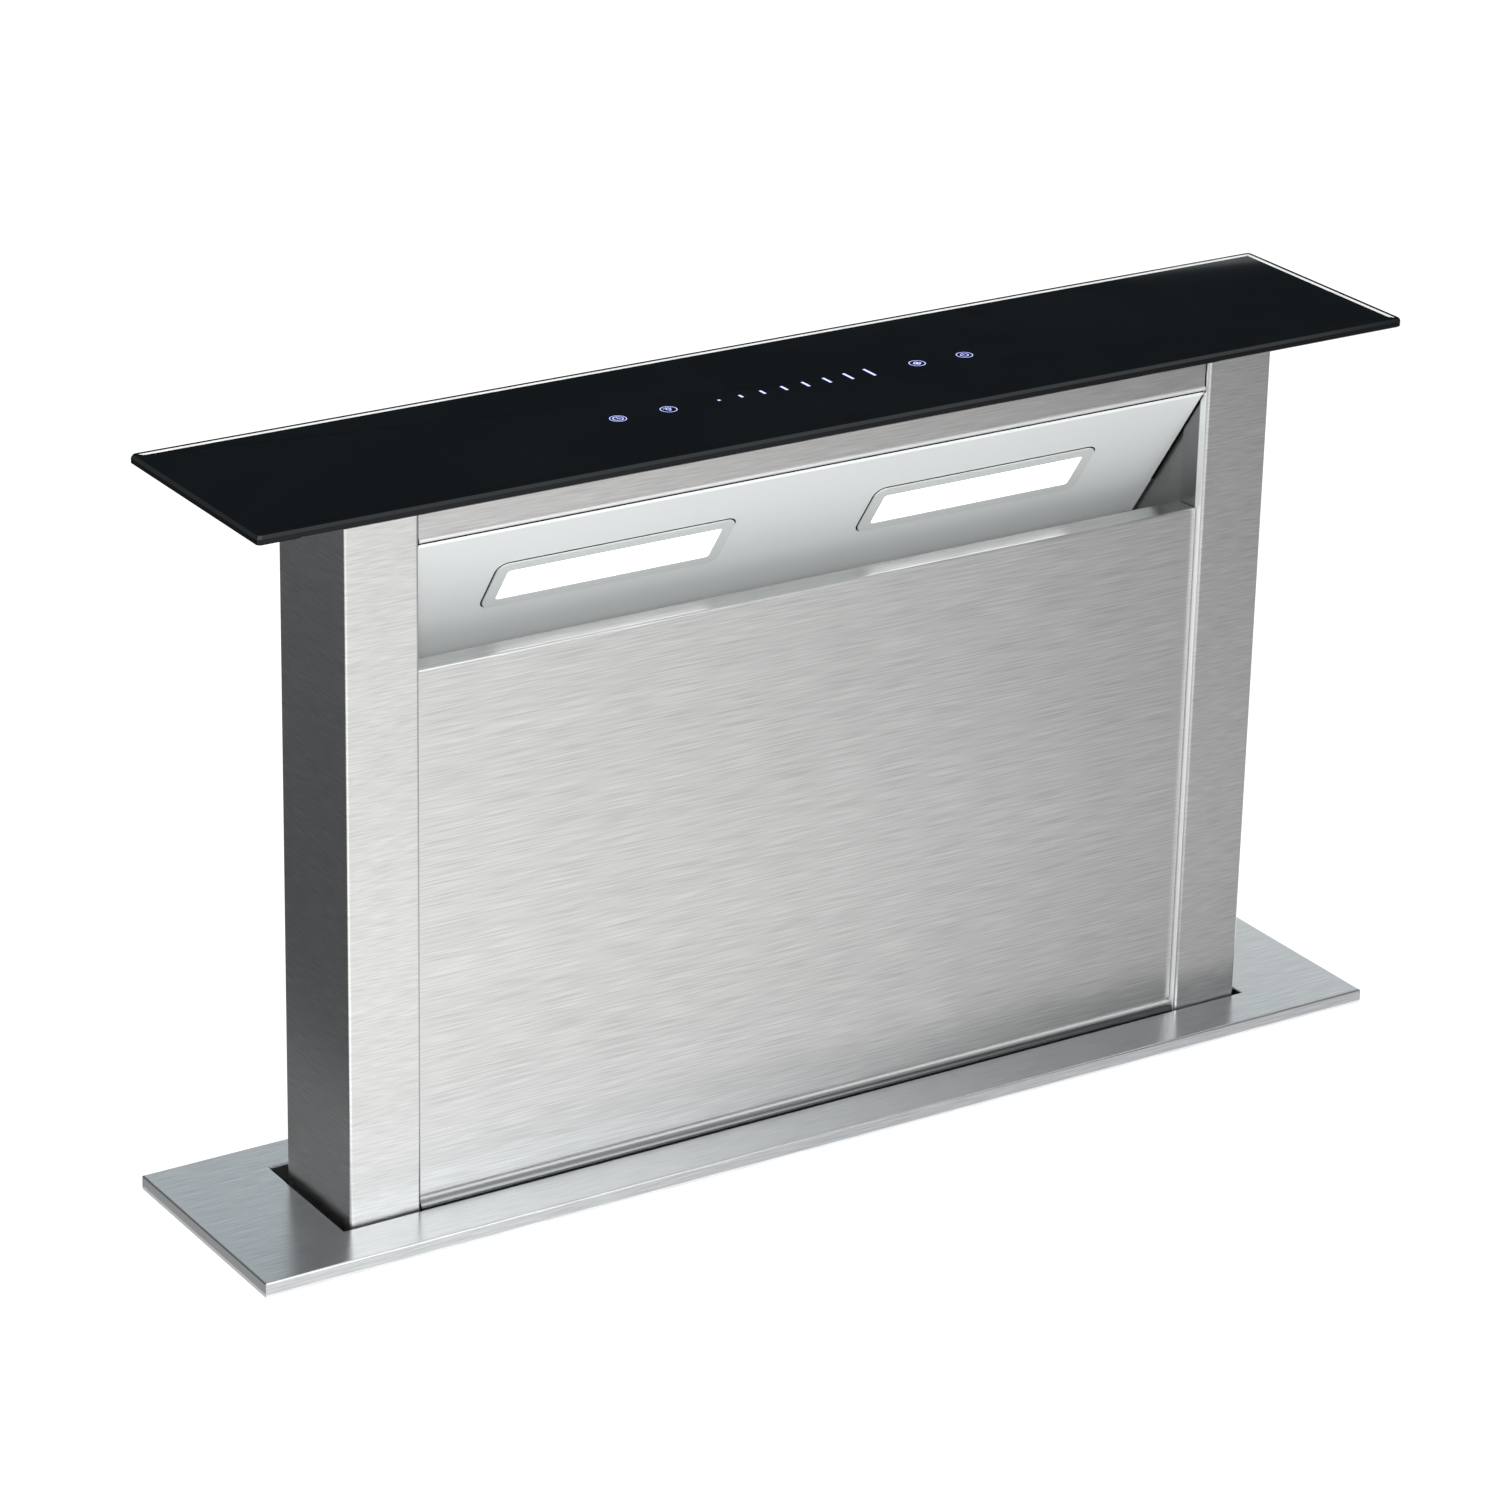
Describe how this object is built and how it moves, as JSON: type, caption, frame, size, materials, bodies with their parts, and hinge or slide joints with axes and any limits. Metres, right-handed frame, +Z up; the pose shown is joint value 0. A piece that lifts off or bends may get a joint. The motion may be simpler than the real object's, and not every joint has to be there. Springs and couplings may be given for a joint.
{
  "type": "downdraft vent",
  "caption": "Worktop extractor: a glass-topped steel screen with lamps and an intake behind its cover rises through a trim plate from a housing with a belt-linked screw lift and a blower.",
  "frame": {"origin": "middle of the mounting frame's underside, on the worktop's surface", "axes": "+Z up out of the worktop, +X to the right along the screen, +Y to the back"},
  "size_m": [0.604, 0.2792, 1.052],
  "materials": {
    "brushed_steel": "brushed along the length, satin",
    "black_glass": "polished, opaque black print behind",
    "satin_grey": "satin",
    "lamp_bezel": "satin",
    "lamp_lens": "frosted, lit from behind",
    "galvanised_steel": "galvanised",
    "grey_enamel": "powder coat, fine texture",
    "black_rubber": "matte",
    "bright_steel": "ground and polished",
    "black_plastic": "fine grain",
    "white_plastic": "moulded, satin",
    "brass": "turned",
    "filter_aluminium": "rolled",
    "filter_mesh": "layered mesh",
    "fan_aluminium": "pressed",
    "circuit_board": "coated laminate"
  },
  "bodies": {
    "housing": {"worktop_trim": "brushed_steel", "trim_seals": "black_rubber", "mounting_frame": "galvanised_steel", "housing_shell": "galvanised_steel", "housing_front_plate": "galvanised_steel", "housing_floor": "galvanised_steel", "support_feet": "galvanised_steel", "housing_fasteners": "bright_steel", "guide_rails": "galvanised_steel", "spindle_bearings": "white_plastic", "drive_beam": "galvanised_steel", "motor_bracket": "galvanised_steel", "lift_motor": "grey_enamel", "drive_belt": "black_rubber", "end_switches": "black_plastic", "blower_casing": "grey_enamel", "blower_lid": "grey_enamel", "fan_scroll": "black_plastic", "inlet_ring": "galvanised_steel", "fan_motor": "grey_enamel", "fan_motor_mount": "galvanised_steel", "outlet_spigot": "grey_enamel", "flap_pin": "bright_steel", "flap_spring": "bright_steel", "control_box": "black_plastic", "control_lid": "black_plastic", "control_board": "circuit_board", "cable_gland": "black_plastic"},
    "screen": {"glass_lid": "black_glass", "lid_tray": "galvanised_steel", "touch_board": "circuit_board", "left_post": "brushed_steel", "right_post": "brushed_steel", "post_liners": "brushed_steel", "header_rail": "brushed_steel", "lower_rail": "brushed_steel", "rear_panel": "galvanised_steel", "baffle": "satin_grey", "lamp_bezels": "lamp_bezel", "lamp_lenses": "lamp_lens", "lamp_boards": "circuit_board", "filter_carrier": "galvanised_steel", "filter_frames": "filter_aluminium", "filter_meshes": "filter_mesh", "magnet_catches": "black_plastic", "spindle_lugs": "galvanised_steel", "spindle_nuts": "brass", "slide_shoes": "white_plastic"},
    "cover": {"front_cover": "brushed_steel"},
    "left_screw": {"left_spindle": "bright_steel", "left_belt_pulley": "white_plastic", "spindle_gear": "white_plastic"},
    "right_screw": {"right_spindle": "bright_steel", "right_belt_pulley": "white_plastic"},
    "pinion": {"motor_pinion": "bright_steel"},
    "fan_wheel": {"impeller": "fan_aluminium"},
    "flap_at_front": {"front_flap": "fan_aluminium"},
    "flap_at_rear": {"rear_flap": "fan_aluminium"},
    "left_latch": {"left_filter_latch": "black_plastic"},
    "right_latch": {"right_filter_latch": "black_plastic"}
  },
  "joints": [
    {"name": "screen_lift", "type": "slide", "parent": "housing", "child": "screen", "axis": [0, 0, 1], "range_m": [-0.34, 0]},
    {"name": "left_spindle_turn", "type": "hinge", "parent": "housing", "child": "left_screw", "pos_m": [-0.258, 0.014, -0.24], "axis": [0, 0, 1], "range_deg": [-15660, 360]},
    {"name": "right_spindle_turn", "type": "hinge", "parent": "housing", "child": "right_screw", "pos_m": [0.258, 0.014, -0.24], "axis": [0, 0, 1], "range_deg": [-15660, 360]},
    {"name": "pinion_turn", "type": "hinge", "parent": "housing", "child": "pinion", "pos_m": [-0.24506, 0.0046, -0.475], "axis": [0, 0, 1], "range_deg": [-540, 23490]},
    {"name": "fan_spin", "type": "hinge", "parent": "housing", "child": "fan_wheel", "pos_m": [-0.022, -0.126, -0.512], "axis": [0, 1, 0], "continuous": true},
    {"name": "front_flap_swing", "type": "hinge", "parent": "housing", "child": "flap_at_front", "pos_m": [0.198, -0.1282, -0.597], "axis": [0, 0, 1], "range_deg": [0, 75], "stiffness_Nm_per_rad": 0.004},
    {"name": "rear_flap_swing", "type": "hinge", "parent": "housing", "child": "flap_at_rear", "pos_m": [0.198, -0.1282, -0.597], "axis": [0, 0, -1], "range_deg": [0, 75], "stiffness_Nm_per_rad": 0.004},
    {"name": "cover_pull", "type": "slide", "parent": "screen", "child": "cover", "axis": [0, -1, 0], "range_m": [0, 0.06]},
    {"name": "left_latch_slide", "type": "slide", "parent": "screen", "child": "left_latch", "axis": [0, -0.1513, -0.9885], "range_m": [0, 0.004], "stiffness_N_per_m": 250},
    {"name": "right_latch_slide", "type": "slide", "parent": "screen", "child": "right_latch", "axis": [0, -0.1513, -0.9885], "range_m": [0, 0.004], "stiffness_N_per_m": 250}
  ],
  "couplings": [
    {"joint": "left_spindle_turn", "follows": "screen_lift", "rad_per_m": 785.4},
    {"joint": "right_spindle_turn", "follows": "screen_lift", "rad_per_m": 785.4},
    {"joint": "pinion_turn", "follows": "screen_lift", "rad_per_m": -1178.1}
  ]
}
